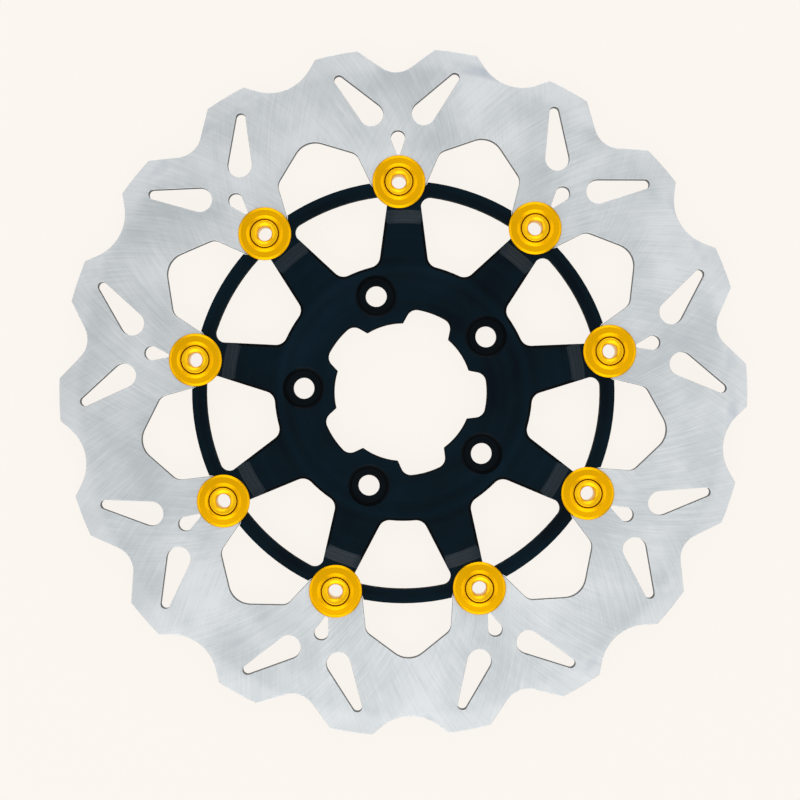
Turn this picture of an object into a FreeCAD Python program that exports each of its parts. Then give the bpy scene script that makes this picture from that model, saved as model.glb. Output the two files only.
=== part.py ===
import FreeCAD, Part
import math
import os
import Sketcher

# Floating brake disc for a motorcycle wheel.
# A wave-edged steel friction ring hangs on an aluminium carrier by nine floating buttons.
# Each button is a flanged bobbin, a tubular rivet through it, a wave washer and a flat washer.
#
# Frame: millimetres, origin at the centre of the carrier's rear mounting face, +Z towards
# the outer side of the wheel, +Y through the bolt hole that stands in line with a spoke.

doc = FreeCAD.newDocument("BrakeDisc")

# ---------------------------------------------------------------- driving dimensions
sizes = {
    # how many of each
    "buttonCount": 9,
    "boltCount": 5,
    "waveCount": 3,
    "pointsPerWave": 12,
    # friction ring, outer edge
    "ringRadius": 150.0,
    "ringThickness": 5.0,
    "tabValleyDepth": 10.5,
    "tabValleyRound": 11.0,
    "tabValleyWall": 35.0,
    "archValleyDepth": 8.7,
    "archValleyRound": 20.0,
    "archValleyWall": 38.0,
    # friction ring, long slots, two to a tab
    "slotWideOffset": 11.5,
    "slotWideInset": 28.5,
    "slotWideRadius": 5.3,
    "slotNarrowOffset": 25.3,
    "slotNarrowInset": 13.4,
    "slotNarrowRadius": 2.1,
    # friction ring, short slot over each button
    "dropWideReach": 19.4,
    "dropWideRadius": 3.15,
    "dropNarrowReach": 12.7,
    "dropNarrowRadius": 0.9,
    # friction ring, tabs and the arches between them
    "tabReach": 1.65,
    "tabHalfWidth": 11.3,
    "tabRootHalfWidth": 18.25,
    "tabRootReach": 12.8,
    "archPeakReach": 27.1,
    "archPeakRound": 9.7,
    "archShoulderRound": 5.0,
    "tabCornerRound": 3.2,
    "tabLead": 1.4,
    # carrier; the buttons' circle is a share of the ring's outer radius
    "buttonShare": 0.611,
    "hubThickness": 7.6,
    "lugThickness": 5.6,
    "rimReach": 0.45,
    "rimWidth": 6.1,
    "rampLength": 6.0,
    "hubEdge": 3.8,
    "hubFaceEdge": 3.0,
    "spokeReliefDepth": 0.5,
    "windowRimHalf": 22.9,
    "windowHubHalf": 8.65,
    "windowRimRound": 4.0,
    "windowHubRound": 5.0,
    "windowChamfer": 1.2,
    "dishEdge": 2.1,
    "dishShoulder": 6.0,
    "dishDepth": 0.8,
    "boreRadius": 30.1,
    "boreSlotDepth": 6.4,
    "boreSlotMouthHalf": 10.8,
    "boreSlotMouthDrop": 4.0,
    "boreSlotEndHalf": 9.4,
    "boreSlotRound": 4.5,
    "boreEdgeChamfer": 0.5,
    "boltInset": 13.3,
    "boltHoleRadius": 4.6,
    "boltSeatRadius": 8.9,
    "boltSeatFloorRadius": 7.3,
    "boltSeatDepth": 1.4,
    # floating buttons
    "shankRadius": 7.5,
    "flangeRadius": 11.55,
    "flangeThickness": 1.5,
    "flangeChamferWidth": 1.1,
    "flangeChamferDrop": 0.7,
    "crownFootRadius": 8.0,
    "crownRadius": 6.7,
    "crownHeight": 0.9,
    "rivetRadius": 4.0,
    "rivetHoleRadius": 3.15,
    "funnelRadius": 5.85,
    "funnelLip": 0.55,
    "funnelDrop": 1.3,
    "rivetHeadRadius": 6.5,
    "rivetHeadThickness": 1.0,
    "rivetHeadChamfer": 0.4,
    "springSpace": 1.0,
    "springThickness": 0.4,
    "springRadius": 10.3,
    "washerRadius": 10.5,
    "washerThickness": 1.0,
    # clearances
    "shankClearance": 0.1,
    "rivetClearance": 0.05,
    "springClearance": 0.05,
    "washerClearance": 0.3,
    "recessGap": 0.4,
    "flangeGap": 0.6,
    # how far a cut runs past the metal
    "cutPast": 2.0,
}

sheet = doc.addObject("Spreadsheet::Sheet", "Sizes")
for row, (alias, size) in enumerate(sizes.items(), start=1):
    sheet.set(f"A{row}", alias)
    sheet.set(f"B{row}", str(size))
    sheet.setAlias(f"B{row}", alias)
doc.recompute()

# ---------------------------------------------------------------- expressions used more than once
pitch = "(360 deg / Sizes.buttonCount)"
buttonCircle = "(Sizes.ringRadius * Sizes.buttonShare)"
tabRadius = f"({buttonCircle} - Sizes.tabReach)"
tabTipHeight = f"sqrt({tabRadius} ^ 2 - Sizes.tabHalfWidth ^ 2)"
tabRootHeight = f"({buttonCircle} + Sizes.tabRootReach)"
ringCutRadius = "(Sizes.ringRadius + Sizes.cutPast)"
rimRadius = f"({buttonCircle} + Sizes.rimReach)"
rimInnerRadius = f"({rimRadius} - Sizes.rimWidth)"
rimCutRadius = f"({rimRadius} + Sizes.cutPast)"
rampFoot = f"({buttonCircle} - Sizes.flangeRadius - Sizes.flangeGap)"
rampHead = f"({rampFoot} - Sizes.rampLength)"
boreSlotRadius = "(Sizes.boreRadius + Sizes.boreSlotDepth)"
boltCircle = "(Sizes.boreRadius + Sizes.boltInset)"
hubRadius = f"({boltCircle} + Sizes.boltSeatRadius + Sizes.hubEdge)"
dishRadius = f"({hubRadius} - Sizes.dishEdge)"
dishCutRadius = "(Sizes.boreRadius - Sizes.cutPast)"
rearCut = "(0 - Sizes.cutPast)"
hubCutHeight = "(Sizes.hubThickness + Sizes.cutPast)"
dishFloor = "(Sizes.hubThickness - Sizes.dishDepth)"
boltSeatFloor = f"({dishFloor} - Sizes.boltSeatDepth)"
notchRadius = "(Sizes.shankRadius + Sizes.shankClearance)"
recessFloor = f"({tabRadius} - Sizes.recessGap)"
flangeTop = "(Sizes.lugThickness + Sizes.flangeThickness)"
crownTop = f"({flangeTop} + Sizes.crownHeight)"
bobbinBore = "(Sizes.rivetRadius + Sizes.rivetClearance)"
funnelSeatRadius = "(Sizes.funnelRadius + Sizes.rivetClearance * 2)"
funnelDepth = "(Sizes.funnelRadius - Sizes.rivetRadius)"
funnelHoleRadius = "(Sizes.funnelRadius - Sizes.funnelLip)"
washerTop = "(0 - Sizes.springSpace)"
washerBottom = f"({washerTop} - Sizes.washerThickness)"
rivetBottom = f"({washerBottom} - Sizes.rivetHeadThickness)"


def value(expression):
    # an expression over the sheet as a plain number, angles in degrees
    result = sheet.evalExpression(expression)
    return getattr(result, "Value", result)


# ---------------------------------------------------------------- sketches
def newBody(label):
    body = doc.addObject("PartDesign::Body", label)
    body.Label = label
    return body


def originFeature(body, role):
    return next(feature for feature in body.Origin.OriginFeatures if feature.Role == role)


def newSketch(body, name, role, turn="0 deg"):
    sketch = body.newObject("Sketcher::SketchObject", name)
    sketch.AttachmentSupport = (originFeature(body, role), [""])
    sketch.MapMode = "FlatFace"
    sketch.setExpression("AttachmentOffset.Rotation.Angle", turn)
    return sketch


def dimension(sketch, kind, where, expression):
    # one dimension of a sketch, tied to the sheet
    size = value(expression)
    if kind == "Angle":
        size = math.radians(size)
    index = sketch.addConstraint(Sketcher.Constraint(kind, *where, size))
    sketch.setExpression(f"Constraints[{index}]", expression)


def circle(sketch, radius, height="0"):
    # a full circle whose centre stands on the sketch's vertical axis
    centre = FreeCAD.Vector(0, value(height), 0)
    shape = Part.Circle(centre, FreeCAD.Vector(0, 0, 1), value(radius))
    index = sketch.addGeometry(shape, False)
    if height == "0":
        sketch.addConstraint(Sketcher.Constraint("Coincident", index, 3, -1, 1))
    else:
        sketch.addConstraint(Sketcher.Constraint("PointOnObject", index, 3, -2))
        dimension(sketch, "DistanceY", (index, 3), height)
    dimension(sketch, "Radius", (index,), radius)


def outline(sketch, corners, arcs=None, rounds=None):
    # A closed outline from corner to corner. A side listed in arcs is an arc about the
    # sketch's origin with the radius given, and its corners then need no height. A corner
    # listed in rounds is rounded to the radius given.
    arcs = arcs or {}
    rounds = rounds or {}
    count = len(corners)
    up = FreeCAD.Vector(0, 0, 1)

    points = []
    for number, (across, height) in enumerate(corners):
        x = value(across)
        radius = arcs.get(number) or arcs.get((number - 1) % count)
        y = math.sqrt(value(radius) ** 2 - x ** 2) if radius else value(height)
        points.append(FreeCAD.Vector(x, y, 0))

    def heading(side, corner):
        # the direction in which a side leaves one of its corners
        ends = (points[side], points[(side + 1) % count])
        away = ends[1] - ends[0] if corner == side else ends[0] - ends[1]
        if side not in arcs:
            return away.normalize()
        along = up.cross(points[corner]).normalize()
        return along if along.dot(away) > 0 else along.negative()

    # where each side starts and ends once the corners are rounded
    starts = list(points)
    ends = [points[(number + 1) % count] for number in range(count)]
    centres = {}
    for number, rounding in rounds.items():
        before = (number - 1) % count
        inward = heading(before, number)
        onward = heading(number, number)
        half = inward.getAngle(onward) / 2
        radius = value(rounding)
        ends[before] = points[number] + inward * (radius / math.tan(half))
        starts[number] = points[number] + onward * (radius / math.tan(half))
        centres[number] = points[number] + (inward + onward).normalize() * (radius / math.sin(half))

    def arc(centre, start, end, radius):
        # adds the shorter arc between two points and says which of its ends comes first
        anticlockwise = (start - centre).cross(end - centre).z > 0
        turns = [math.atan2((p - centre).y, (p - centre).x) for p in (start, end)]
        if not anticlockwise:
            turns.reverse()
        index = sketch.addGeometry(Part.ArcOfCircle(Part.Circle(centre, up, radius), *turns), False)
        return (index, 1, 2) if anticlockwise else (index, 2, 1)

    sides = []
    for number in range(count):
        if number in arcs:
            side = arc(FreeCAD.Vector(), starts[number], ends[number], value(arcs[number]))
            sketch.addConstraint(Sketcher.Constraint("Coincident", side[0], 3, -1, 1))
            dimension(sketch, "Radius", (side[0],), arcs[number])
        else:
            side = (sketch.addGeometry(Part.LineSegment(starts[number], ends[number]), False), 1, 2)
        sides.append(side)

    for number, (across, height) in enumerate(corners):
        before = sides[number - 1]
        after = sides[number]
        if number in rounds:
            bend = arc(centres[number], ends[number - 1], starts[number], value(rounds[number]))
            joints = [(before[0], before[2], bend[0], bend[1]), (bend[0], bend[2], after[0], after[1])]
            for joint in joints:
                sketch.addConstraint(Sketcher.Constraint("Tangent", *joint))
            dimension(sketch, "Radius", (bend[0],), rounds[number])
            place = (sketch.addGeometry(Part.Point(points[number]), True), 1)
            sketch.addConstraint(Sketcher.Constraint("PointOnObject", *place, before[0]))
            sketch.addConstraint(Sketcher.Constraint("PointOnObject", *place, after[0]))
        else:
            place = (after[0], after[1])
            sketch.addConstraint(Sketcher.Constraint("Coincident", before[0], before[2], *place))
        dimension(sketch, "DistanceX", place, across)
        if number not in arcs and (number - 1) % count not in arcs:
            dimension(sketch, "DistanceY", place, height)


def teardrop(sketch, wide, narrow):
    # Two round ends joined by two straight sides. Each end is given as (across, height, radius).
    (wideX, wideY, wideRadius) = (value(size) for size in wide)
    (narrowX, narrowY, narrowRadius) = (value(size) for size in narrow)
    wideCentre = FreeCAD.Vector(wideX, wideY, 0)
    narrowCentre = FreeCAD.Vector(narrowX, narrowY, 0)
    heading = math.atan2(narrowY - wideY, narrowX - wideX)
    span = math.acos((wideRadius - narrowRadius) / wideCentre.distanceToPoint(narrowCentre))
    up = FreeCAD.Vector(0, 0, 1)
    wideRound = Part.Circle(wideCentre, up, wideRadius)
    narrowRound = Part.Circle(narrowCentre, up, narrowRadius)
    wideEnd = Part.ArcOfCircle(wideRound, heading + span, heading - span)
    narrowEnd = Part.ArcOfCircle(narrowRound, heading - span, heading + span)
    rightSide = Part.LineSegment(wideEnd.EndPoint, narrowEnd.StartPoint)
    leftSide = Part.LineSegment(narrowEnd.EndPoint, wideEnd.StartPoint)
    first = sketch.GeometryCount
    sketch.addGeometry([wideEnd, rightSide, narrowEnd, leftSide], False)
    for number in range(4):
        joined = (first + number, 2, first + (number + 1) % 4, 1)
        sketch.addConstraint(Sketcher.Constraint("Tangent", *joined))
    for index, (across, height, radius) in ((first, wide), (first + 2, narrow)):
        dimension(sketch, "DistanceX", (index, 3), across)
        dimension(sketch, "DistanceY", (index, 3), height)
        dimension(sketch, "Radius", (index,), radius)


def valley(sketch, depth, rounding, wall):
    # An open hollow in the outer edge: a round floor and two straight walls that run out past the edge.
    floorRadius = f"(Sizes.ringRadius - {depth})"
    centreHeight = value(f"{floorRadius} + {rounding}")
    radius = value(rounding)
    lean = math.radians(value(wall))
    top = value(ringCutRadius)
    footX = radius * math.sin(lean)
    footY = centreHeight - radius * math.cos(lean)
    topX = footX + (top - footY) / math.tan(lean)
    ring = Part.Circle(FreeCAD.Vector(0, centreHeight, 0), FreeCAD.Vector(0, 0, 1), radius)
    floor = Part.ArcOfCircle(ring, 1.5 * math.pi - lean, 1.5 * math.pi + lean)
    rightWall = Part.LineSegment(FreeCAD.Vector(footX, footY, 0), FreeCAD.Vector(topX, top, 0))
    lid = Part.LineSegment(FreeCAD.Vector(topX, top, 0), FreeCAD.Vector(-topX, top, 0))
    leftWall = Part.LineSegment(FreeCAD.Vector(-topX, top, 0), FreeCAD.Vector(-footX, footY, 0))
    sketch.addGeometry([floor, rightWall, lid, leftWall], False)
    sketch.addConstraint(Sketcher.Constraint("Tangent", 0, 2, 1, 1))
    sketch.addConstraint(Sketcher.Constraint("Tangent", 3, 2, 0, 1))
    sketch.addConstraint(Sketcher.Constraint("Coincident", 1, 2, 2, 1))
    sketch.addConstraint(Sketcher.Constraint("Coincident", 2, 2, 3, 1))
    sketch.addConstraint(Sketcher.Constraint("PointOnObject", 0, 3, -2))
    sketch.addConstraint(Sketcher.Constraint("Symmetric", 2, 1, 2, 2, -2))
    dimension(sketch, "DistanceY", (0, 3), f"{floorRadius} + {rounding}")
    dimension(sketch, "Radius", (0,), rounding)
    dimension(sketch, "DistanceY", (1, 2), ringCutRadius)
    dimension(sketch, "Angle", (1,), f"{wall} * 1 deg")


# ---------------------------------------------------------------- features
bodyVolumes = {}


def finish(feature, grows=False):
    # recompute, make it the body's tip, and make sure that it really added or cut something
    body = feature.getParentGeoFeatureGroup()
    body.Tip = feature
    doc.recompute()
    if feature.Shape.isNull():
        raise RuntimeError(f"{body.Label}: {feature.Name} has no shape")
    change = feature.Shape.Volume - bodyVolumes.get(body.Label, 0.0)
    if (change > 0) != grows or abs(change) < 1e-6:
        raise RuntimeError(f"{body.Label}: {feature.Name} changed the volume by {change:.3f}")
    bodyVolumes[body.Label] = feature.Shape.Volume
    return feature


def pad(body, sketch, length):
    feature = body.newObject("PartDesign::Pad", sketch.Name + "Pad")
    feature.Profile = sketch
    feature.setExpression("Length", length)
    return finish(feature, grows=True)


def pocketThrough(body, sketch):
    # cuts upwards from the XY plane, through everything
    feature = body.newObject("PartDesign::Pocket", sketch.Name + "Pocket")
    feature.Profile = sketch
    feature.Type = "ThroughAll"
    feature.Reversed = True
    return finish(feature)


def turned(body, sketch, kind, axis="V_Axis"):
    # a full Revolution or Groove of a sketch
    feature = body.newObject("PartDesign::" + kind, sketch.Name + kind)
    feature.Profile = sketch
    feature.ReferenceAxis = (sketch, [axis])
    feature.Angle = 360
    return finish(feature, grows=(kind == "Revolution"))


def repeated(body, cuts, count):
    feature = body.newObject("PartDesign::PolarPattern", cuts[0].Name + "Pattern")
    feature.Originals = cuts
    feature.Axis = (originFeature(body, "Z_Axis"), [""])
    feature.Angle = 360
    feature.setExpression("Occurrences", count)
    return finish(feature)


def uprightEdges(shape, radius):
    # the straight edges along Z at one distance from the axis
    names = []
    for number, edge in enumerate(shape.Edges, start=1):
        ends = [vertex.Point for vertex in edge.Vertexes]
        if len(ends) != 2 or math.hypot(ends[0].x - ends[1].x, ends[0].y - ends[1].y) > 1e-4:
            continue
        if abs(math.hypot(ends[0].x, ends[0].y) - radius) < 0.01:
            names.append(f"Edge{number}")
    return names


def roundCorners(body, name, radius, size):
    # rounds every outside corner that stands upright at one distance from the axis
    base = body.Tip
    feature = body.newObject("PartDesign::Fillet", name)
    feature.Base = (base, uprightEdges(base.Shape, value(radius)))
    feature.setExpression("Radius", size)
    return finish(feature)


def levelEdges(shape, height, inner, outer):
    # the edges of one level that lie between two distances from the axis
    names = []
    for number, edge in enumerate(shape.Edges, start=1):
        box = edge.BoundBox
        if abs(box.ZMin - height) > 1e-4 or abs(box.ZMax - height) > 1e-4:
            continue
        middle = edge.valueAt((edge.FirstParameter + edge.LastParameter) / 2)
        if inner < math.hypot(middle.x, middle.y) < outer:
            names.append(f"Edge{number}")
    return names


def chamferEdges(body, name, edges, size):
    base = body.Tip
    feature = body.newObject("PartDesign::Chamfer", name)
    feature.Base = (base, edges)
    feature.setExpression("Size", size)
    return finish(feature)


# ---------------------------------------------------------------- friction ring
def fromArch(across, out):
    # a point given from a tab's centre line, seen from the centre line of the arch beside it
    half = f"({pitch} / 2)"
    return (
        f"({out}) * sin({half}) - ({across}) * cos({half})",
        f"({out}) * cos({half}) + ({across}) * sin({half})",
    )


def makeFrictionRing():
    body = newBody("friction_ring")
    blank = newSketch(body, "RingBlank", "XY_Plane")
    circle(blank, "Sizes.ringRadius")
    circle(blank, tabRadius)
    pad(body, blank, "Sizes.ringThickness")

    # arches between the tabs, cut out to the inner edge
    arch = newSketch(body, "Arch", "XY_Plane", f"{pitch} / 2")
    rootX, rootY = fromArch("Sizes.tabRootHalfWidth", tabRootHeight)
    tipX, tipY = fromArch("Sizes.tabHalfWidth", tabTipHeight)
    corners = [
        ("0", f"{buttonCircle} + Sizes.archPeakReach"),
        (f"0 - ({rootX})", rootY),
        (f"0 - ({tipX})", tipY),
        (tipX, tipY),
        (rootX, rootY),
    ]
    shoulder = "Sizes.archShoulderRound"
    outline(arch, corners, rounds={0: "Sizes.archPeakRound", 1: shoulder, 4: shoulder})
    repeated(body, [pocketThrough(body, arch)], "Sizes.buttonCount")
    roundCorners(body, "TabCorners", tabRadius, "Sizes.tabCornerRound")

    # wave edge: one valley over each tab and one over each arch
    tabValley = newSketch(body, "TabValley", "XY_Plane")
    valley(tabValley, "Sizes.tabValleyDepth", "Sizes.tabValleyRound", "Sizes.tabValleyWall")
    archValley = newSketch(body, "ArchValley", "XY_Plane", f"{pitch} / 2")
    valley(archValley, "Sizes.archValleyDepth", "Sizes.archValleyRound", "Sizes.archValleyWall")

    # slots that clean and cool the pads, and the notch that takes the button
    slots = newSketch(body, "Slots", "XY_Plane")
    for side in (1, -1):
        wide = (f"{side} * Sizes.slotWideOffset", "Sizes.ringRadius - Sizes.slotWideInset")
        narrow = (f"{side} * Sizes.slotNarrowOffset", "Sizes.ringRadius - Sizes.slotNarrowInset")
        teardrop(slots, (*wide, "Sizes.slotWideRadius"), (*narrow, "Sizes.slotNarrowRadius"))
    dropWide = ("0", f"{buttonCircle} + Sizes.dropWideReach", "Sizes.dropWideRadius")
    dropNarrow = ("0", f"{buttonCircle} + Sizes.dropNarrowReach", "Sizes.dropNarrowRadius")
    teardrop(slots, dropWide, dropNarrow)
    circle(slots, notchRadius, buttonCircle)
    cuts = [pocketThrough(body, sketch) for sketch in (tabValley, archValley, slots)]
    repeated(body, cuts, "Sizes.buttonCount")

    # the ring floats midway between the flanges and the wave washers
    body.setExpression("Placement.Base.z", "(Sizes.lugThickness - Sizes.ringThickness) / 2")
    body.setExpression("Placement.Rotation.Angle", "Sizes.tabLead * 1 deg")
    return body


# ---------------------------------------------------------------- carrier
def makeCarrier():
    body = newBody("carrier")
    blank = newSketch(body, "CarrierBlank", "XY_Plane")
    circle(blank, rimRadius)
    circle(blank, "Sizes.boreRadius")
    pad(body, blank, "Sizes.hubThickness")

    # windows between the spokes
    window = newSketch(body, "Window", "XY_Plane", f"{pitch} / 2")
    corners = [
        ("Sizes.windowRimHalf", None),
        ("0 - Sizes.windowRimHalf", None),
        ("0 - Sizes.windowHubHalf", None),
        ("Sizes.windowHubHalf", None),
    ]
    rimRound = "Sizes.windowRimRound"
    hubRound = "Sizes.windowHubRound"
    rounds = {0: rimRound, 1: rimRound, 2: hubRound, 3: hubRound}
    outline(window, corners, {0: rimInnerRadius, 2: hubRadius}, rounds)
    repeated(body, [pocketThrough(body, window)], "Sizes.buttonCount")
    inside = value("Sizes.boreRadius + Sizes.cutPast")
    outside = value(f"{rimInnerRadius} + Sizes.cutPast")
    edges = levelEdges(body.Tip.Shape, value("Sizes.hubThickness"), inside, outside)
    chamferEdges(body, "WindowChamfer", edges, "Sizes.windowChamfer")

    # recess for the end of each tab, and the notch that takes the button
    recess = newSketch(body, "TabRecess", "XY_Plane", "Sizes.tabLead * 1 deg")
    floorHalf = "Sizes.tabHalfWidth + Sizes.recessGap"
    flare = f"(Sizes.tabRootHalfWidth - Sizes.tabHalfWidth) / ({tabRootHeight} - {tabTipHeight})"
    mouthHalf = f"{floorHalf} + ({rimCutRadius} - {tabTipHeight}) * {flare}"
    corners = [
        (mouthHalf, rimCutRadius),
        (f"0 - ({mouthHalf})", rimCutRadius),
        (f"0 - ({floorHalf})", None),
        (floorHalf, None),
    ]
    recessRound = "Sizes.tabCornerRound + Sizes.recessGap"
    outline(recess, corners, {2: recessFloor}, {2: recessRound, 3: recessRound})
    notch = newSketch(body, "Notch", "XY_Plane", "Sizes.tabLead * 1 deg")
    circle(notch, notchRadius, buttonCircle)
    cuts = [pocketThrough(body, sketch) for sketch in (recess, notch)]
    repeated(body, cuts, "Sizes.buttonCount")

    # the rim and the lugs are turned down, with a ramp up to the spokes
    ramp = newSketch(body, "Ramp", "YZ_Plane")
    outline(ramp, [
        (rampHead, "Sizes.hubThickness"),
        (rampFoot, "Sizes.lugThickness"),
        (rimCutRadius, "Sizes.lugThickness"),
        (rimCutRadius, hubCutHeight),
        (rampHead, hubCutHeight),
    ])
    turned(body, ramp, "Groove")

    # the rear of the spokes stands back a little, so that only the hub's face meets the wheel
    relief = newSketch(body, "SpokeRelief", "YZ_Plane")
    outline(relief, [
        (f"{hubRadius} + Sizes.hubFaceEdge", rearCut),
        (rampHead, rearCut),
        (rampHead, "Sizes.spokeReliefDepth"),
        (f"{hubRadius} + Sizes.hubFaceEdge", "Sizes.spokeReliefDepth"),
    ])
    turned(body, relief, "Groove")

    # shallow dish round the bolts
    dish = newSketch(body, "Dish", "YZ_Plane")
    outline(dish, [
        (dishCutRadius, dishFloor),
        (f"{dishRadius} - Sizes.dishShoulder", dishFloor),
        (dishRadius, "Sizes.hubThickness"),
        (dishRadius, hubCutHeight),
        (dishCutRadius, hubCutHeight),
    ])
    turned(body, dish, "Groove")

    # slots in the bore, midway between the bolt holes
    boreSlot = newSketch(body, "BoreSlot", "XY_Plane", "180 deg / Sizes.boltCount")
    corners = [
        ("Sizes.boreSlotEndHalf", None),
        ("0 - Sizes.boreSlotEndHalf", None),
        ("0 - Sizes.boreSlotMouthHalf", "Sizes.boreRadius - Sizes.boreSlotMouthDrop"),
        ("Sizes.boreSlotMouthHalf", "Sizes.boreRadius - Sizes.boreSlotMouthDrop"),
    ]
    slotRound = "Sizes.boreSlotRound"
    outline(boreSlot, corners, {0: boreSlotRadius}, {0: slotRound, 1: slotRound})

    # bolt holes with a dished seat
    bolt = newSketch(body, "Bolt", "YZ_Plane")
    outline(bolt, [
        (boltCircle, rearCut),
        (f"{boltCircle} + Sizes.boltHoleRadius", rearCut),
        (f"{boltCircle} + Sizes.boltHoleRadius", boltSeatFloor),
        (f"{boltCircle} + Sizes.boltSeatFloorRadius", boltSeatFloor),
        (f"{boltCircle} + Sizes.boltSeatRadius", dishFloor),
        (f"{boltCircle} + Sizes.boltSeatRadius", hubCutHeight),
        (boltCircle, hubCutHeight),
    ])
    centre = value(boltCircle)
    line = Part.LineSegment(FreeCAD.Vector(centre, 0, 0), FreeCAD.Vector(centre, value(dishFloor), 0))
    axis = bolt.addGeometry(line, True)
    bolt.addConstraint(Sketcher.Constraint("Vertical", axis))
    dimension(bolt, "DistanceX", (axis, 1), boltCircle)
    bolt.addConstraint(Sketcher.Constraint("PointOnObject", axis, 1, -1))
    dimension(bolt, "DistanceY", (axis, 2), dishFloor)
    cuts = [pocketThrough(body, boreSlot), turned(body, bolt, "Groove", "Axis0")]
    repeated(body, cuts, "Sizes.boltCount")
    outside = value(f"{boreSlotRadius} + Sizes.boreEdgeChamfer")
    edges = levelEdges(body.Tip.Shape, value(dishFloor), 0, outside)
    chamferEdges(body, "BoreChamfer", edges, "Sizes.boreEdgeChamfer")
    return body


# ---------------------------------------------------------------- floating buttons
def placeAtButton(piece, number):
    # stands a piece at its button, counted anticlockwise from the one nearest +Y
    turn = f"({number - 1} * {pitch} + Sizes.tabLead * 1 deg)"
    piece.setExpression("Placement.Base.x", f"0 - {buttonCircle} * sin({turn})")
    piece.setExpression("Placement.Base.y", f"{buttonCircle} * cos({turn})")
    piece.setExpression("Placement.Rotation.Angle", turn)


def makeTurned(label, corners):
    body = newBody(label)
    profile = newSketch(body, label + "_profile", "XZ_Plane")
    outline(profile, corners)
    turned(body, profile, "Revolution")
    return body


bobbinProfile = [
    (bobbinBore, washerTop),
    ("Sizes.shankRadius", washerTop),
    ("Sizes.shankRadius", "Sizes.lugThickness"),
    ("Sizes.flangeRadius", "Sizes.lugThickness"),
    ("Sizes.flangeRadius", f"{flangeTop} - Sizes.flangeChamferDrop"),
    ("Sizes.flangeRadius - Sizes.flangeChamferWidth", flangeTop),
    ("Sizes.crownFootRadius", flangeTop),
    ("Sizes.crownRadius", crownTop),
    (funnelSeatRadius, crownTop),
    (bobbinBore, f"{crownTop} - ({funnelSeatRadius} - {bobbinBore})"),
]

rivetProfile = [
    ("Sizes.rivetHoleRadius", rivetBottom),
    ("Sizes.rivetHeadRadius - Sizes.rivetHeadChamfer", rivetBottom),
    ("Sizes.rivetHeadRadius", f"{rivetBottom} + Sizes.rivetHeadChamfer"),
    ("Sizes.rivetHeadRadius", washerBottom),
    ("Sizes.rivetRadius", washerBottom),
    ("Sizes.rivetRadius", f"{crownTop} - {funnelDepth}"),
    ("Sizes.funnelRadius", crownTop),
    (funnelHoleRadius, crownTop),
    ("Sizes.rivetHoleRadius", f"{crownTop} - Sizes.funnelDrop"),
]

washerProfile = [
    ("Sizes.rivetRadius + Sizes.washerClearance", washerBottom),
    ("Sizes.washerRadius", washerBottom),
    ("Sizes.washerRadius", washerTop),
    ("Sizes.rivetRadius + Sizes.washerClearance", washerTop),
]


def makeWaveWasher(label):
    # a spring washer bent into waves: a ruled ribbon between two wavy circles, thickened along Z
    thickness = value("Sizes.springThickness")
    space = value("Sizes.springSpace")
    height = (space - thickness) / 2 - value("Sizes.springClearance")
    middle = -space / 2 - thickness / 2
    waves = int(value("Sizes.waveCount"))
    pointCount = int(value("Sizes.pointsPerWave")) * waves
    rims = []
    for radius in (value("Sizes.shankRadius + Sizes.washerClearance"), value("Sizes.springRadius")):
        points = []
        for step in range(pointCount):
            turn = 2 * math.pi * step / pointCount
            lift = middle + height * math.cos(waves * turn)
            points.append(FreeCAD.Vector(radius * math.cos(turn), radius * math.sin(turn), lift))
        curve = Part.BSplineCurve()
        curve.interpolate(Points=points, PeriodicFlag=True)
        rims.append(curve.toShape())
    washer = doc.addObject("Part::Feature", label)
    washer.Shape = Part.makeRuledSurface(*rims).extrude(FreeCAD.Vector(0, 0, thickness))
    return washer


pieces = [makeCarrier(), makeFrictionRing()]
for number in range(1, int(value("Sizes.buttonCount")) + 1):
    button = [
        makeTurned(f"bobbin_{number}", bobbinProfile),
        makeTurned(f"rivet_{number}", rivetProfile),
        makeWaveWasher(f"wave_washer_{number}"),
        makeTurned(f"flat_washer_{number}", washerProfile),
    ]
    for piece in button:
        placeAtButton(piece, number)
    pieces.extend(button)
doc.recompute()

# ---------------------------------------------------------------- checks and export
for item in doc.Objects:
    if "Invalid" in item.State or "Error" in item.State:
        raise RuntimeError(f"{item.Name} did not compute: {item.State}")
os.makedirs("parts", exist_ok=True)
for piece in pieces:
    if piece.Shape.isNull() or not piece.Shape.isValid() or len(piece.Shape.Solids) != 1:
        raise RuntimeError(f"{piece.Label} is not one valid solid")
    piece.Shape.exportStep(f"parts/{piece.Label}.step")
    print(f"{piece.Label}: {piece.Shape.Volume:.1f} mm3")
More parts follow.
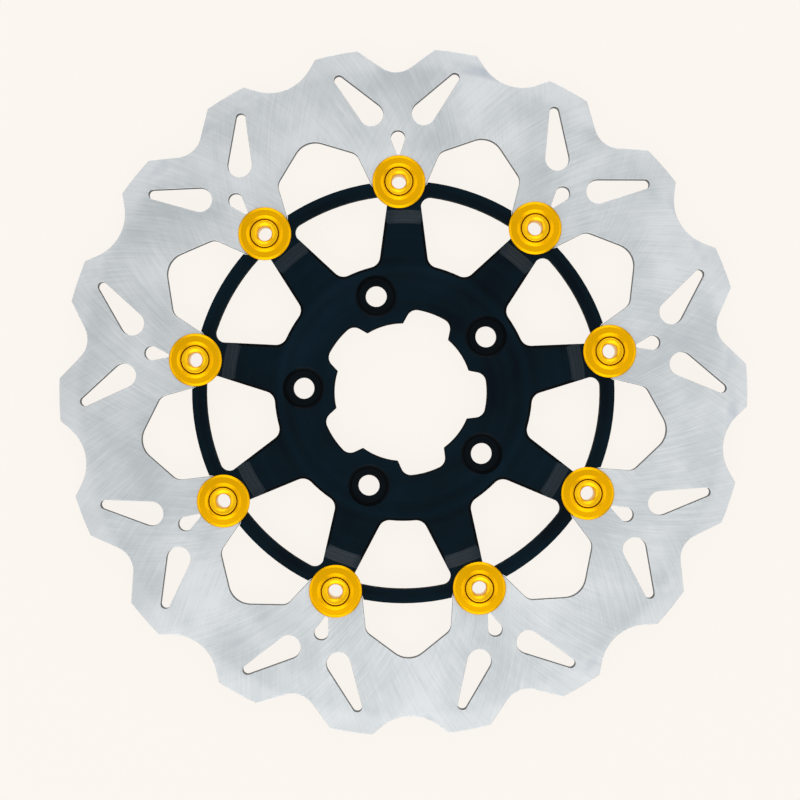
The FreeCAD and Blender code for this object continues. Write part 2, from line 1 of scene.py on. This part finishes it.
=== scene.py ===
import bpy, bmesh, math
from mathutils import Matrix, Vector


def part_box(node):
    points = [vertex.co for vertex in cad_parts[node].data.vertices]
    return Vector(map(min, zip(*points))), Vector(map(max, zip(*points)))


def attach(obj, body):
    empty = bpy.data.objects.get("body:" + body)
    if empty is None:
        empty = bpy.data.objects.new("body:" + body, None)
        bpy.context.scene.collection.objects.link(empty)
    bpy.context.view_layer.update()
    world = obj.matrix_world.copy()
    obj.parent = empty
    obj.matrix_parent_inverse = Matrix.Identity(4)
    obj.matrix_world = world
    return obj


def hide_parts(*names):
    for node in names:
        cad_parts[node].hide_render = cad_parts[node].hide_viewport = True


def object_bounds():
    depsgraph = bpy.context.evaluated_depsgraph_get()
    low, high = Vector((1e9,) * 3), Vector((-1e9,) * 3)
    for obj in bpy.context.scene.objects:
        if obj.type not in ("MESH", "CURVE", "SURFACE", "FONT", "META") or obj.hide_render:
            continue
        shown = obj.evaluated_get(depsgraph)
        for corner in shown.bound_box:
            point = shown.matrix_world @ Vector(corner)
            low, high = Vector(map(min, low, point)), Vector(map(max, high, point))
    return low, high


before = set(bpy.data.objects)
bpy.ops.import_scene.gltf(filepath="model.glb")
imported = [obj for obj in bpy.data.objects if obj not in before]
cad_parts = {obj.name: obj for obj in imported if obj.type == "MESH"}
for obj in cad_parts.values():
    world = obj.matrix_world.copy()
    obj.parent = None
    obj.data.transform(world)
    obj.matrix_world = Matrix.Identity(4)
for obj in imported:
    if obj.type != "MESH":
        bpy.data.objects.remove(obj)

solidBox = [list(corner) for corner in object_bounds()]
floorHeight = solidBox[0][2]
buttonNumbers = range(1, 10)
print("frame loaded,", len(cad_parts), "nodes")


def hexColour(text):
    # "#RRGGBB" in sRGB to the linear numbers that shaders use
    parts = [int(text[i:i + 2], 16) / 255 for i in (1, 3, 5)]
    return [c / 12.92 if c <= 0.04045 else ((c + 0.055) / 1.055) ** 2.4 for c in parts] + [1.0]


def addNode(tree, kind, inputs=None, output=0, **settings):
    node = tree.nodes.new(kind)
    for name, setting in settings.items():
        setattr(node, name, setting)
    for name, source in (inputs or {}).items():
        if isinstance(source, bpy.types.NodeSocket):
            tree.links.new(source, node.inputs[name])
        else:
            node.inputs[name].default_value = source
    return node.outputs[output] if node.outputs else node


def newMaterial(name):
    material = bpy.data.materials.new(name)
    material.use_nodes = True
    material.node_tree.nodes.clear()
    return material, material.node_tree


def dress(tree, sockets):
    shader = addNode(tree, "ShaderNodeBsdfPrincipled", sockets)
    addNode(tree, "ShaderNodeOutputMaterial", {"Surface": shader})


view = {
    "height": 0.840, "level": 0.0053,   # m; the camera stands this far above this level
    "lens": 86.7, "sensor": 36.0,       # mm
    "turn": -159.8,                     # degrees about the disc's axis
    "alongX": 0.00016, "alongY": 0.00373,   # m off the axis
}

cameraData = bpy.data.cameras.new("topCamera")
cameraData.lens = view["lens"]
cameraData.sensor_width = view["sensor"]
camera = bpy.data.objects.new("topCamera", cameraData)
camera.location = (view["alongX"], view["alongY"], view["level"] + view["height"])
camera.rotation_euler = (0, 0, math.radians(view["turn"]))
bpy.context.scene.collection.objects.link(camera)
bpy.context.scene.camera = camera
print("camera placed")


studio = {
    "floorColour": "#FAF5EF", "floorGlow": 0.95, "floorSize": 24.0,
    # the room is bright overhead and dims towards the horizon
    "zenithColour": "#F4F5F7", "zenithStrength": 0.86, "horizonColour": "#EEF0F2", "horizonStrength": 0.55,
    "horizonHeight": 0.4,   # sine of the angle up to which the horizon's light reaches
}
softboxes = {
    # name: (power W, width, depth, how far right and up in the picture, height, all in m), aimed at the disc
    "overhead": (5.2, 2.4, 2.4, 0.95, -0.95, 1.9),
    "lower": (4.2, 1.3, 0.6, -0.31, -0.92, 1.15),
    "upper": (2.0, 1.0, 0.6, 0.31, 0.92, 1.15),
    "lowFront": (5.2, 1.5, 0.6, 0.0, -1.3, 0.58),
    "lowBack": (5.4, 1.5, 0.6, 0.0, 1.3, 0.58),
    "lowLeft": (3.6, 1.5, 0.6, -1.3, 0.0, 0.58),
    "lowRight": (3.0, 1.5, 0.6, 1.3, 0.0, 0.58),
}

pictureRight = Vector((math.cos(math.radians(view["turn"])), math.sin(math.radians(view["turn"])), 0))
pictureUp = Vector((-pictureRight.y, pictureRight.x, 0))
for name, (power, width, depth, right, up, height) in softboxes.items():
    lampData = bpy.data.lights.new(name + "Softbox", "AREA")
    lampData.shape = "RECTANGLE"
    lampData.size, lampData.size_y = width, depth
    lampData.energy = power
    lamp = bpy.data.objects.new(name + "Softbox", lampData)
    lamp.location = pictureRight * right + pictureUp * up + Vector((0, 0, height))
    lamp.rotation_euler = lamp.location.to_track_quat("Z", "Y").to_euler()
    bpy.context.scene.collection.objects.link(lamp)

world = bpy.data.worlds.new("softRoom")
world.use_nodes = True
world.node_tree.nodes.clear()
tree = world.node_tree
heading = addNode(tree, "ShaderNodeTexCoord", output="Generated")
rise = addNode(tree, "ShaderNodeSeparateXYZ", {"Vector": heading}, output="Z")
overhead = addNode(tree, "ShaderNodeMapRange",
                   {"Value": rise, "From Min": 0.0, "From Max": studio["horizonHeight"]},
                   interpolation_type="SMOOTHSTEP")
zenith = addNode(tree, "ShaderNodeBackground",
                 {"Color": hexColour(studio["zenithColour"]), "Strength": studio["zenithStrength"]})
horizon = addNode(tree, "ShaderNodeBackground",
                  {"Color": hexColour(studio["horizonColour"]), "Strength": studio["horizonStrength"]})
roomLight = addNode(tree, "ShaderNodeMixShader", {"Fac": overhead, 1: horizon, 2: zenith})
addNode(tree, "ShaderNodeOutputWorld", {"Surface": roomLight})
bpy.context.scene.world = world
bpy.context.scene.view_settings.view_transform = "Standard"

# matt paper sweep, lit nearly all by its own glow, so the disc leaves only a breath of shadow
floorPaper, tree = newMaterial("mattPaperSweep")
paper = addNode(tree, "ShaderNodeBsdfDiffuse", {"Color": hexColour(studio["floorColour"])})
glow = addNode(tree, "ShaderNodeEmission", {"Color": hexColour(studio["floorColour"]), "Strength": 1.0})
mixed = addNode(tree, "ShaderNodeMixShader", {"Fac": studio["floorGlow"], 1: paper, 2: glow})
addNode(tree, "ShaderNodeOutputMaterial", {"Surface": mixed})

floorMesh = bpy.data.meshes.new("studioFloor")
shape = bmesh.new()
bmesh.ops.create_grid(shape, x_segments=1, y_segments=1, size=studio["floorSize"] / 2)
bmesh.ops.translate(shape, verts=shape.verts, vec=(0, 0, floorHeight))
shape.to_mesh(floorMesh)
shape.free()
floorMesh.materials.append(floorPaper)
floor = bpy.data.objects.new("studioFloor", floorMesh)
bpy.context.scene.collection.objects.link(floor)
print("studio ready")


noiseSpan = (0.3, 0.7)   # nearly all of a noise texture's values lie between these

groundSteel = {
    "light": "#D6D9DA", "dark": "#BFC4C6", "cut": "#3E4346", "smudge": "#A9B0BA",
    "border": "#E6E8E8", "borderStart": (0.1395, 0.1435), "borderMix": 0.3,   # radii in m
    "smudgeStart": (0.1405, 0.1425), "smudgeEnd": (0.1475, 0.1445),           # radii in m
    "smudgeScale": 14.0, "smudgeSpan": (0.5, 0.64), "smudgeMix": 0.8,
    "roughness": (0.33, 0.44), "cutRoughness": 0.5,                           # least and most, then walls
    "wallLimits": (0.45, 0.75),   # size of the normal's Z: below, a cut wall; above, a ground face
    "middleRadius": 0.125,   # m, where the tilts below are met
    "tilts": (31, -25),      # degrees off the radius, the two ways the stone crossed
    "setOffset": 40.0,       # keeps the two sets of marks from being alike
    "patchSpan": (0.42, 0.58), "patchLead": (0.22, 0.78),   # how far one set or the other wins in a patch
    "toneSpan": (0.405, 0.595),   # a narrower span gives a stronger pattern
    "grindSpacing": 0.0009, "grindLength": 0.015,   # m; real marks are finer, drawn this coarse to show
    "grindDepth": 0.000012, "cloudSize": 0.035, "patchSize": 0.05,
}


def makeGroundSteel():
    # Martensitic stainless, surface ground with a cup stone: crossed hair-fine arcs, satin, cool grey,
    # slightly cloudy; the laser-cut walls are duller and darker
    s = groundSteel
    material, tree = newMaterial("stainlessSteelGround")
    place = addNode(tree, "ShaderNodeTexCoord", output="Object")
    flat = addNode(tree, "ShaderNodeVectorMath", {0: place, 1: (1, 1, 0)}, operation="MULTIPLY")
    radius = addNode(tree, "ShaderNodeVectorMath", {0: flat}, output="Value", operation="LENGTH")
    direction = addNode(tree, "ShaderNodeVectorMath", {0: flat}, operation="NORMALIZE")
    along = addNode(tree, "ShaderNodeMath", {0: radius, 1: 1 / s["grindLength"]}, operation="MULTIPLY")
    spread = s["middleRadius"] / s["grindSpacing"]
    marks = []
    for number, tilt in enumerate(s["tilts"]):
        twist = math.tan(math.radians(tilt)) / s["middleRadius"]
        angle = addNode(tree, "ShaderNodeMath", {0: radius, 1: twist}, operation="MULTIPLY")
        turned = addNode(tree, "ShaderNodeVectorRotate", {"Vector": direction, "Angle": angle},
                         rotation_type="Z_AXIS")
        wide = addNode(tree, "ShaderNodeVectorMath", {0: turned, "Scale": spread}, operation="SCALE")
        lift = addNode(tree, "ShaderNodeMath", {0: along, 1: s["setOffset"] * number}, operation="ADD")
        lifted = addNode(tree, "ShaderNodeCombineXYZ", {"Z": lift})
        point = addNode(tree, "ShaderNodeVectorMath", {0: wide, 1: lifted}, operation="ADD")
        marks.append(addNode(tree, "ShaderNodeTexNoise",
                             {"Vector": point, "Scale": 1.0, "Detail": 4.0, "Roughness": 0.62}))
    cloud = addNode(tree, "ShaderNodeTexNoise",
                    {"Vector": place, "Scale": 1 / s["cloudSize"], "Detail": 3.0, "Roughness": 0.55})
    # in each patch one of the two ways wins
    patches = addNode(tree, "ShaderNodeTexNoise",
                      {"Vector": place, "Scale": 1 / s["patchSize"], "Detail": 1.0})
    lead = addNode(tree, "ShaderNodeMapRange",
                   {"Value": patches, "From Min": s["patchSpan"][0], "From Max": s["patchSpan"][1],
                    "To Min": s["patchLead"][0], "To Max": s["patchLead"][1]})
    grind = addNode(tree, "ShaderNodeMix", {"Factor": lead, "A": marks[0], "B": marks[1]}, data_type="FLOAT")
    tone = addNode(tree, "ShaderNodeMix", {"Factor": 0.5, "A": cloud, "B": grind}, data_type="FLOAT")
    toneRange = addNode(tree, "ShaderNodeMapRange",
                        {"Value": tone, "From Min": s["toneSpan"][0], "From Max": s["toneSpan"][1]})
    face = addNode(tree, "ShaderNodeMix",
                   {"Factor": toneRange, "A": hexColour(s["dark"]), "B": hexColour(s["light"])},
                   output="Result", data_type="RGBA")
    # a slightly paler border with faint smudges in it
    onBorder = addNode(tree, "ShaderNodeMapRange",
                       {"Value": radius, "From Min": s["borderStart"][0], "From Max": s["borderStart"][1],
                        "To Max": s["borderMix"]})
    face = addNode(tree, "ShaderNodeMix", {"Factor": onBorder, "A": face, "B": hexColour(s["border"])},
                   output="Result", data_type="RGBA")
    inside = addNode(tree, "ShaderNodeMapRange",
                     {"Value": radius, "From Min": s["smudgeStart"][0], "From Max": s["smudgeStart"][1]})
    outside = addNode(tree, "ShaderNodeMapRange",
                      {"Value": radius, "From Min": s["smudgeEnd"][0], "From Max": s["smudgeEnd"][1]})
    patch = addNode(tree, "ShaderNodeTexNoise",
                    {"Vector": place, "Scale": s["smudgeScale"], "Detail": 4.0, "Roughness": 0.7})
    patchy = addNode(tree, "ShaderNodeMapRange",
                     {"Value": patch, "From Min": s["smudgeSpan"][0], "From Max": s["smudgeSpan"][1],
                      "To Max": s["smudgeMix"]})
    band = addNode(tree, "ShaderNodeMath", {0: inside, 1: outside}, operation="MULTIPLY")
    smudge = addNode(tree, "ShaderNodeMath", {0: band, 1: patchy}, operation="MULTIPLY")
    face = addNode(tree, "ShaderNodeMix", {"Factor": smudge, "A": face, "B": hexColour(s["smudge"])},
                   output="Result", data_type="RGBA")
    normal = addNode(tree, "ShaderNodeNewGeometry", output="Normal")
    upright = addNode(tree, "ShaderNodeSeparateXYZ", {"Vector": normal}, output="Z")
    level = addNode(tree, "ShaderNodeMath", {0: upright}, operation="ABSOLUTE")
    isFace = addNode(tree, "ShaderNodeMapRange",
                     {"Value": level, "From Min": s["wallLimits"][0], "From Max": s["wallLimits"][1]})
    colour = addNode(tree, "ShaderNodeMix", {"Factor": isFace, "A": hexColour(s["cut"]), "B": face},
                     output="Result", data_type="RGBA")
    rough = addNode(tree, "ShaderNodeMapRange",
                    {"Value": cloud, "From Min": noiseSpan[0], "From Max": noiseSpan[1],
                     "To Min": s["roughness"][0], "To Max": s["roughness"][1]})
    allRough = addNode(tree, "ShaderNodeMix", {"Factor": isFace, "A": s["cutRoughness"], "B": rough},
                       data_type="FLOAT")
    bump = addNode(tree, "ShaderNodeBump", {"Height": grind, "Distance": s["grindDepth"], "Strength": 1.0})
    dress(tree, {"Base Color": colour, "Metallic": 1.0, "Roughness": allRough, "Normal": bump})
    return material


blackAnodise = {
    # edge is the near black of the painted shade on the milled walls, the chamfers and the bolt seats
    "colour": "#01080E", "worn": "#03151F", "edge": "#010305",
    "roughness": (0.30, 0.39), "wallRoughness": 0.8,   # least and most, then walls
    "specular": 0.05, "rampSpecular": 0.17,
    "wallLimits": (0.78, 0.92),   # size of the normal's Z: below, a milled wall; above, a turned face
    "toneSpan": (0.35, 0.65), "bandShare": 0.6,
    "lineSpacing": 0.0005, "lineDepth": 0.000004, "cloudSize": 0.03,   # m
    "bandSpacing": 0.007,   # m between the broad rings that the facing tool leaves
    # painted shade: the bolt seats are drawn darker, as shade falls in them; they lie between these levels
    # and inside this radius, m
    "seatLevel": 0.0067, "rearLevel": 0.001, "seatReach": 0.056, "seatShadeStrength": 0.75,
    # the ramp down to the rim is cut in coarser passes; a painted highlight lightens their crests
    "rampFrom": 0.0735, "rampTo": 0.0795, "rampBlend": 0.0003,   # m
    "rampSlope": (0.8, 0.985),                                   # Z of its normal lies between these
    "passWidth": 0.0008, "passDepth": 0.00006,                   # m
    "passHighlightColour": "#56666E", "passSpan": (0.4, 0.62), "passHighlightMix": 0.1,
}


def makeBlackAnodise(name, specular):
    # Turned and milled aluminium, dyed blue-black in the anodising bath: deep colour under a thin
    # clear oxide, concentric tool lines just catching the light
    s = blackAnodise
    material, tree = newMaterial(name)
    place = addNode(tree, "ShaderNodeTexCoord", output="Object")
    flat = addNode(tree, "ShaderNodeVectorMath", {0: place, 1: (1, 1, 0)}, operation="MULTIPLY")
    radius = addNode(tree, "ShaderNodeVectorMath", {0: flat}, output="Value", operation="LENGTH")
    rows = addNode(tree, "ShaderNodeMath", {0: radius, 1: 1 / s["lineSpacing"]}, operation="MULTIPLY")
    lines = addNode(tree, "ShaderNodeTexNoise", {"W": rows, "Scale": 1.0, "Detail": 2.0},
                    noise_dimensions="1D")
    cloud = addNode(tree, "ShaderNodeTexNoise",
                    {"Vector": place, "Scale": 1 / s["cloudSize"], "Detail": 3.0, "Roughness": 0.55})
    bandRows = addNode(tree, "ShaderNodeMath", {0: radius, 1: 1 / s["bandSpacing"]}, operation="MULTIPLY")
    bands = addNode(tree, "ShaderNodeTexNoise", {"W": bandRows, "Scale": 1.0, "Detail": 1.0},
                    noise_dimensions="1D")
    rings = addNode(tree, "ShaderNodeMix", {"Factor": s["bandShare"], "A": lines, "B": bands},
                    data_type="FLOAT")
    tone = addNode(tree, "ShaderNodeMix", {"Factor": 0.5, "A": cloud, "B": rings}, data_type="FLOAT")
    toneRange = addNode(tree, "ShaderNodeMapRange",
                        {"Value": tone, "From Min": s["toneSpan"][0], "From Max": s["toneSpan"][1]})
    colour = addNode(tree, "ShaderNodeMix",
                     {"Factor": toneRange, "A": hexColour(s["colour"]), "B": hexColour(s["worn"])},
                     output="Result", data_type="RGBA")
    normal = addNode(tree, "ShaderNodeNewGeometry", output="Normal")
    upright = addNode(tree, "ShaderNodeSeparateXYZ", {"Vector": normal}, output="Z")
    level = addNode(tree, "ShaderNodeMath", {0: upright}, operation="ABSOLUTE")
    isLevel = addNode(tree, "ShaderNodeMapRange",
                      {"Value": level, "From Min": s["wallLimits"][0], "From Max": s["wallLimits"][1]})
    cloudRough = addNode(tree, "ShaderNodeMapRange",
                         {"Value": cloud, "From Min": noiseSpan[0], "From Max": noiseSpan[1],
                          "To Min": s["roughness"][0], "To Max": s["roughness"][1]})
    rough = addNode(tree, "ShaderNodeMix", {"Factor": isLevel, "A": s["wallRoughness"], "B": cloudRough},
                    data_type="FLOAT")
    fine = addNode(tree, "ShaderNodeBump", {"Height": lines, "Distance": s["lineDepth"], "Strength": 1.0})
    inRamp = addNode(tree, "ShaderNodeMapRange",
                     {"Value": radius, "From Min": s["rampFrom"] - s["rampBlend"], "From Max": s["rampFrom"]})
    notRim = addNode(tree, "ShaderNodeMapRange",
                     {"Value": radius, "From Min": s["rampTo"] + s["rampBlend"], "From Max": s["rampTo"]})
    onRamp = addNode(tree, "ShaderNodeMath", {0: inRamp, 1: notRim}, operation="MULTIPLY")
    facesFront = addNode(tree, "ShaderNodeMath", {0: upright, 1: 0.5}, operation="GREATER_THAN")
    onRamp = addNode(tree, "ShaderNodeMath", {0: onRamp, 1: facesFront}, operation="MULTIPLY")
    # two steps of the noise to a pass
    passRows = addNode(tree, "ShaderNodeMath", {0: radius, 1: 2 / s["passWidth"]}, operation="MULTIPLY")
    passes = addNode(tree, "ShaderNodeTexNoise", {"W": passRows, "Scale": 1.0, "Detail": 3.0},
                     noise_dimensions="1D")
    passHeight = addNode(tree, "ShaderNodeMath", {0: passes, 1: onRamp}, operation="MULTIPLY")
    # painted highlight: the crests of the passes on the ramp are drawn lighter grey
    crest = addNode(tree, "ShaderNodeMapRange",
                    {"Value": passes, "From Min": s["passSpan"][0], "From Max": s["passSpan"][1],
                     "To Max": s["passHighlightMix"]})
    crestHighlight = addNode(tree, "ShaderNodeMath", {0: crest, 1: onRamp}, operation="MULTIPLY")
    colour = addNode(tree, "ShaderNodeMix", {"Factor": crestHighlight, "A": colour, "B": hexColour(s["passHighlightColour"])},
                     output="Result", data_type="RGBA")
    rise = addNode(tree, "ShaderNodeSeparateXYZ", {"Vector": place}, output="Z")
    # painted shade: the bolt seats, below the seat level and inside the seat reach, are drawn darker
    low = addNode(tree, "ShaderNodeMath", {0: rise, 1: s["seatLevel"]}, operation="LESS_THAN")
    near = addNode(tree, "ShaderNodeMath", {0: radius, 1: s["seatReach"]}, operation="LESS_THAN")
    front = addNode(tree, "ShaderNodeMath", {0: rise, 1: s["rearLevel"]}, operation="GREATER_THAN")
    inSeat = addNode(tree, "ShaderNodeMath", {0: low, 1: near}, operation="MULTIPLY")
    inSeat = addNode(tree, "ShaderNodeMath", {0: inSeat, 1: front}, operation="MULTIPLY")
    seatShade = addNode(tree, "ShaderNodeMath", {0: inSeat, 1: -s["seatShadeStrength"], 2: 1.0},
                   operation="MULTIPLY_ADD")
    # painted shade: the milled walls and chamfers, and the shaded bolt seats, go to the near-black edge
    # colour
    lit = addNode(tree, "ShaderNodeMath", {0: seatShade, 1: isLevel}, operation="MULTIPLY")
    colour = addNode(tree, "ShaderNodeMix", {"Factor": lit, "A": hexColour(s["edge"]), "B": colour},
                     output="Result", data_type="RGBA")
    bump = addNode(tree, "ShaderNodeBump",
                   {"Height": passHeight, "Distance": s["passDepth"], "Strength": 1.0, "Normal": fine})
    dress(tree, {"Base Color": colour, "Metallic": 0.0, "Specular IOR Level": specular,
                 "Roughness": rough, "Normal": bump})
    return material


turnedFinishes = {
    # name: (colour, darker colour, roughness, tool line spacing m, line depth m)
    "aluminiumAnodisedGold": ("#E6AC06", "#DC9F02", 0.40, 0.00022, 0.0000014),
    "aluminiumAnodisedGoldRivet": ("#F2BE1A", "#E8B00C", 0.38, 0.00018, 0.0000014),
    "steelZincPlated": ("#C9CCCB", "#B0B4B4", 0.38, 0.00030, 0.0000030),
}
blotchScale = 220.0   # per m, faint unevenness of the dye or plating


def makeTurnedFinish(name):
    # Turned on a lathe, then dyed or plated: rings of fine tool marks round the piece's own axis,
    # read from its UV map (across = distance from the axis, up = height)
    light, dark, roughness, spacing, depth = turnedFinishes[name]
    material, tree = newMaterial(name)
    unrolled = addNode(tree, "ShaderNodeUVMap", uv_map="turned")
    across = addNode(tree, "ShaderNodeVectorMath", {0: unrolled, 1: (1, 1, 0)}, output="Value",
                     operation="DOT_PRODUCT")
    rows = addNode(tree, "ShaderNodeMath", {0: across, 1: 1 / spacing}, operation="MULTIPLY")
    lines = addNode(tree, "ShaderNodeTexNoise", {"W": rows, "Scale": 1.0, "Detail": 2.0},
                    noise_dimensions="1D")
    place = addNode(tree, "ShaderNodeTexCoord", output="Object")
    cloud = addNode(tree, "ShaderNodeTexNoise", {"Vector": place, "Scale": blotchScale, "Detail": 3.0})
    tone = addNode(tree, "ShaderNodeMix", {"Factor": 0.5, "A": cloud, "B": lines}, data_type="FLOAT")
    colour = addNode(tree, "ShaderNodeMix", {"Factor": tone, "A": hexColour(dark), "B": hexColour(light)},
                     output="Result", data_type="RGBA")
    bump = addNode(tree, "ShaderNodeBump", {"Height": lines, "Distance": depth, "Strength": 1.0})
    dress(tree, {"Base Color": colour, "Metallic": 1.0, "Roughness": roughness, "Normal": bump})
    return material


springFinish = {
    "light": "#B9BCBD", "dark": "#8E9294", "roughness": 0.34,
    "cloudSize": 0.004, "depth": 0.000003,   # m
}


def makeSpringSteel():
    # Rolled stainless strip, pressed wavy: smooth, a little darker than the ring, faint blotches
    s = springFinish
    material, tree = newMaterial("springSteelRolled")
    place = addNode(tree, "ShaderNodeTexCoord", output="Object")
    cloud = addNode(tree, "ShaderNodeTexNoise",
                    {"Vector": place, "Scale": 1 / s["cloudSize"], "Detail": 4.0})
    colour = addNode(tree, "ShaderNodeMix",
                     {"Factor": cloud, "A": hexColour(s["dark"]), "B": hexColour(s["light"])},
                     output="Result", data_type="RGBA")
    bump = addNode(tree, "ShaderNodeBump", {"Height": cloud, "Distance": s["depth"], "Strength": 1.0})
    dress(tree, {"Base Color": colour, "Metallic": 1.0, "Roughness": s["roughness"], "Normal": bump})
    return material


plateEdges = {
    # node: (width of the broken edge m, segments)
    "friction_ring": (0.00020, 2),
    "carrier": (0.00018, 2),
    "wave_washer": (0.00006, 1),
}
plateShading = {
    "mergeDistance": 0.000002,   # m
    "flatAngle": 0.4,            # degrees; facets that bend less than this are joined
    "shallowSlope": 0.8, "crispAngle": 4,   # size of the normal's Z, and degrees
    "bevelAngle": 30,            # degrees; sharper edges are broken
}


def dressPlate(node, pieceName, material, body, brokenEdge):
    # a copy of the CAD node with its sharp edges just broken, as a deburring wheel leaves them
    width, segments = brokenEdge
    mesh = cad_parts[node].data.copy()
    mesh.name = pieceName
    shape = bmesh.new()
    shape.from_mesh(mesh)
    bmesh.ops.remove_doubles(shape, verts=shape.verts, dist=plateShading["mergeDistance"])
    bmesh.ops.dissolve_limit(shape, angle_limit=math.radians(plateShading["flatAngle"]), verts=shape.verts,
                             edges=shape.edges, use_dissolve_boundaries=False)
    bmesh.ops.recalc_face_normals(shape, faces=shape.faces)
    crispAngle = math.radians(plateShading["crispAngle"])
    for edge in shape.edges:
        # a level face keeps a crisp line against a shallow cone, such as the ramp and the dish
        isShallow = all(abs(face.normal.z) > plateShading["shallowSlope"] for face in edge.link_faces)
        edge.smooth = not (edge.is_manifold and isShallow and edge.calc_face_angle() > crispAngle)
    shape.to_mesh(mesh)
    shape.free()
    for attribute in [a for a in mesh.attributes if a.name == "custom_normal"]:
        mesh.attributes.remove(attribute)
    mesh.materials.clear()
    mesh.materials.append(material)
    mesh.polygons.foreach_set("use_smooth", [True] * len(mesh.polygons))
    piece = bpy.data.objects.new(pieceName, mesh)
    bpy.context.scene.collection.objects.link(piece)
    bevel = piece.modifiers.new("brokenEdges", "BEVEL")
    bevel.width = width
    bevel.segments = segments
    bevel.limit_method = "ANGLE"
    bevel.angle_limit = math.radians(plateShading["bevelAngle"])
    bevel.use_clamp_overlap = False
    flatten = piece.modifiers.new("flatFaces", "WEIGHTED_NORMAL")
    flatten.mode = "FACE_AREA"
    flatten.weight = 100
    flatten.keep_sharp = True
    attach(piece, body)
    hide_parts(node)
    return piece


bobbin = {
    # half section from the bore outwards: (radius mm, height mm from the carrier's rear face); edge in m
    "section": [(4.05, -1.0), (7.5, -1.0), (7.5, 5.6), (11.55, 5.6), (11.55, 6.4), (10.45, 7.1), (8.0, 7.1),
                (6.75, 8.0), (6.4, 8.0), (6.2, 6.9), (5.6, 6.7), (4.05, 5.85)],
    "steps": 96, "edge": 0.00012, "finish": "aluminiumAnodisedGold", "slot": "gold_anodised",
}
rivet = {
    "section": [(3.15, -3.0), (6.1, -3.0), (6.5, -2.6), (6.5, -2.0), (4.0, -2.0), (4.0, 6.15),
                (5.2, 6.95), (5.8, 7.3), (5.85, 7.85), (5.6, 8.0), (5.3, 8.0), (4.8, 7.92), (4.3, 7.74),
                (3.85, 7.49), (3.45, 7.18), (3.2, 6.92), (3.15, 6.7)],
    "steps": 72, "edge": 0.00008, "finish": "aluminiumAnodisedGoldRivet", "slot": "gold_rivet",
}
flatWasher = {
    "section": [(4.3, -2.0), (10.5, -2.0), (10.5, -1.0), (4.3, -1.0)],
    "steps": 72, "edge": 0.00012, "finish": "steelZincPlated", "slot": "washer_steel",
}
turning = {
    "mergeDistance": 0.000001,             # m
    "cornerAngle": 20, "sharpAngle": 50,   # degrees; corners above the first are broken
}


def turnPiece(pieceName, node, facts, material, body):
    # half section spun round the button's own axis, its sharp edges broken
    low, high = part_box(node)
    centre = (low + high) / 2
    shape = bmesh.new()
    corners = [shape.verts.new((r / 1000, 0, z / 1000)) for r, z in facts["section"]]
    loop = [shape.edges.new((corners[i - 1], corners[i])) for i in range(len(corners))]
    bmesh.ops.spin(shape, geom=corners + loop, cent=(0, 0, 0), axis=(0, 0, 1), angle=math.tau,
                   steps=facts["steps"], use_merge=True)
    bmesh.ops.remove_doubles(shape, verts=shape.verts, dist=turning["mergeDistance"])
    bmesh.ops.recalc_face_normals(shape, faces=shape.faces)
    cornerAngle = math.radians(turning["cornerAngle"])
    sharp = [edge for edge in shape.edges if edge.is_manifold and edge.calc_face_angle() > cornerAngle]
    bmesh.ops.bevel(shape, geom=sharp, offset=facts["edge"], offset_type="OFFSET", segments=2, profile=0.5,
                    affect="EDGES", material=-1, clamp_overlap=True)
    layer = shape.loops.layers.uv.new("turned")
    for face in shape.faces:
        face.smooth = True
        for corner in face.loops:
            place = corner.vert.co
            corner[layer].uv = (math.hypot(place.x, place.y), place.z)
    bmesh.ops.translate(shape, verts=shape.verts, vec=(centre.x, centre.y, 0))
    mesh = bpy.data.meshes.new(pieceName)
    shape.to_mesh(mesh)
    shape.free()
    mesh.materials.append(material)
    mesh.set_sharp_from_angle(angle=math.radians(turning["sharpAngle"]))
    piece = bpy.data.objects.new(pieceName, mesh)
    bpy.context.scene.collection.objects.link(piece)
    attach(piece, body)
    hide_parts(node)


dressPlate("friction_ring", "frictionRing", makeGroundSteel(), "friction_ring",
           plateEdges["friction_ring"])
print("friction ring dressed")
faceFinish = makeBlackAnodise("aluminiumAnodisedBlack", blackAnodise["specular"])
carrierPiece = dressPlate("carrier", "discCarrier", faceFinish, "carrier",
                          plateEdges["carrier"])
# the ramps mirror the soft lights more than the turned faces do
rampFinish = makeBlackAnodise("aluminiumAnodisedBlackRamp", blackAnodise["rampSpecular"])
carrierFaces = carrierPiece.data.polygons
carrierPiece.data.materials.append(rampFinish)
steepest, flattest = blackAnodise["rampSlope"]
for face in carrierFaces:
    reach = math.hypot(face.center.x, face.center.y)
    if steepest < face.normal.z < flattest and blackAnodise["rampFrom"] < reach < blackAnodise["rampTo"]:
        face.material_index = 1
print("ramp faces:", sum(face.material_index for face in carrierFaces))
print("carrier dressed")

finishes = {name: makeTurnedFinish(name) for name in turnedFinishes}
springSteel = makeSpringSteel()
for number in buttonNumbers:
    body = f"button_{number}"
    turnPiece(f"bobbin{number}", f"bobbin_{number}", bobbin, finishes[bobbin["finish"]], body)
    turnPiece(f"rivet{number}", f"rivet_{number}", rivet, finishes[rivet["finish"]], body)
    turnPiece(f"flatWasher{number}", f"flat_washer_{number}", flatWasher, finishes[flatWasher["finish"]],
              body)
    dressPlate(f"wave_washer_{number}", f"waveWasher{number}", springSteel, body,
               plateEdges["wave_washer"])
print("nine buttons dressed")
